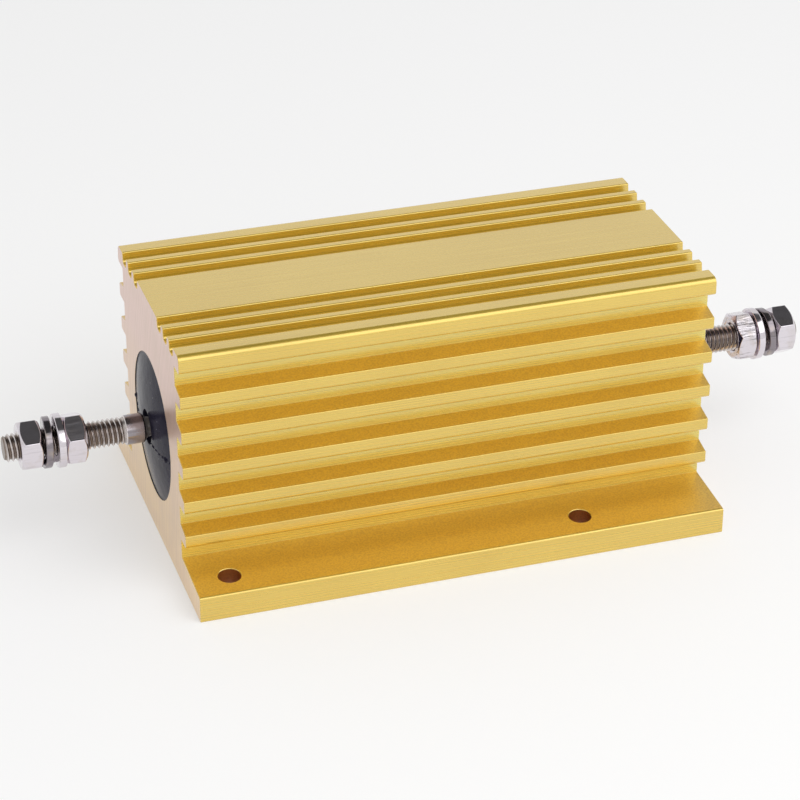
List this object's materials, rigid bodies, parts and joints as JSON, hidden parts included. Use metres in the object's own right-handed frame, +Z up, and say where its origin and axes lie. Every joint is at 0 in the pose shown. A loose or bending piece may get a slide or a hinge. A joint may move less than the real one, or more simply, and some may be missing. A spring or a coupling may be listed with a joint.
{
  "type": "aluminium housed power resistor",
  "caption": "Wirewound power resistor in a finned gold anodised aluminium housing with flanges for screws and a threaded terminal at each end.",
  "frame": {"origin": "middle of the mounting face of the housing, halfway between the two terminal tips", "axes": "+X along the terminals, towards the right end with its single short thread tip; +Z up from the mounting face to the grooved top; +Y across the flanges"},
  "size_m": [0.1774, 0.0746, 0.0553],
  "materials": {
    "anodised_aluminium": "gold anodised extrusion",
    "moulded_silicone": "moulded, slightly glossy dark grey",
    "steatite": "unglazed",
    "resistance_alloy": "drawn wire",
    "cap_steel": "pressed sheet",
    "terminal_steel": "rolled thread",
    "nickel_plate": "bright nickel plate",
    "spring_steel": "plated spring steel"
  },
  "bodies": {
    "root": {"housing": "anodised_aluminium", "silicone_moulding": "moulded_silicone", "ceramic_core": "steatite", "resistance_winding": "resistance_alloy", "end_cap_left": "cap_steel", "end_cap_right": "cap_steel", "terminal_stud_left": "terminal_steel", "terminal_stud_right": "terminal_steel", "inner_nut_left": "nickel_plate", "inner_nut_right": "nickel_plate", "plain_washer_left": "nickel_plate", "plain_washer_right": "nickel_plate", "spring_washer_left": "spring_steel", "spring_washer_right": "spring_steel", "outer_nut_left": "nickel_plate", "outer_nut_right": "nickel_plate"}
  },
  "joints": []
}
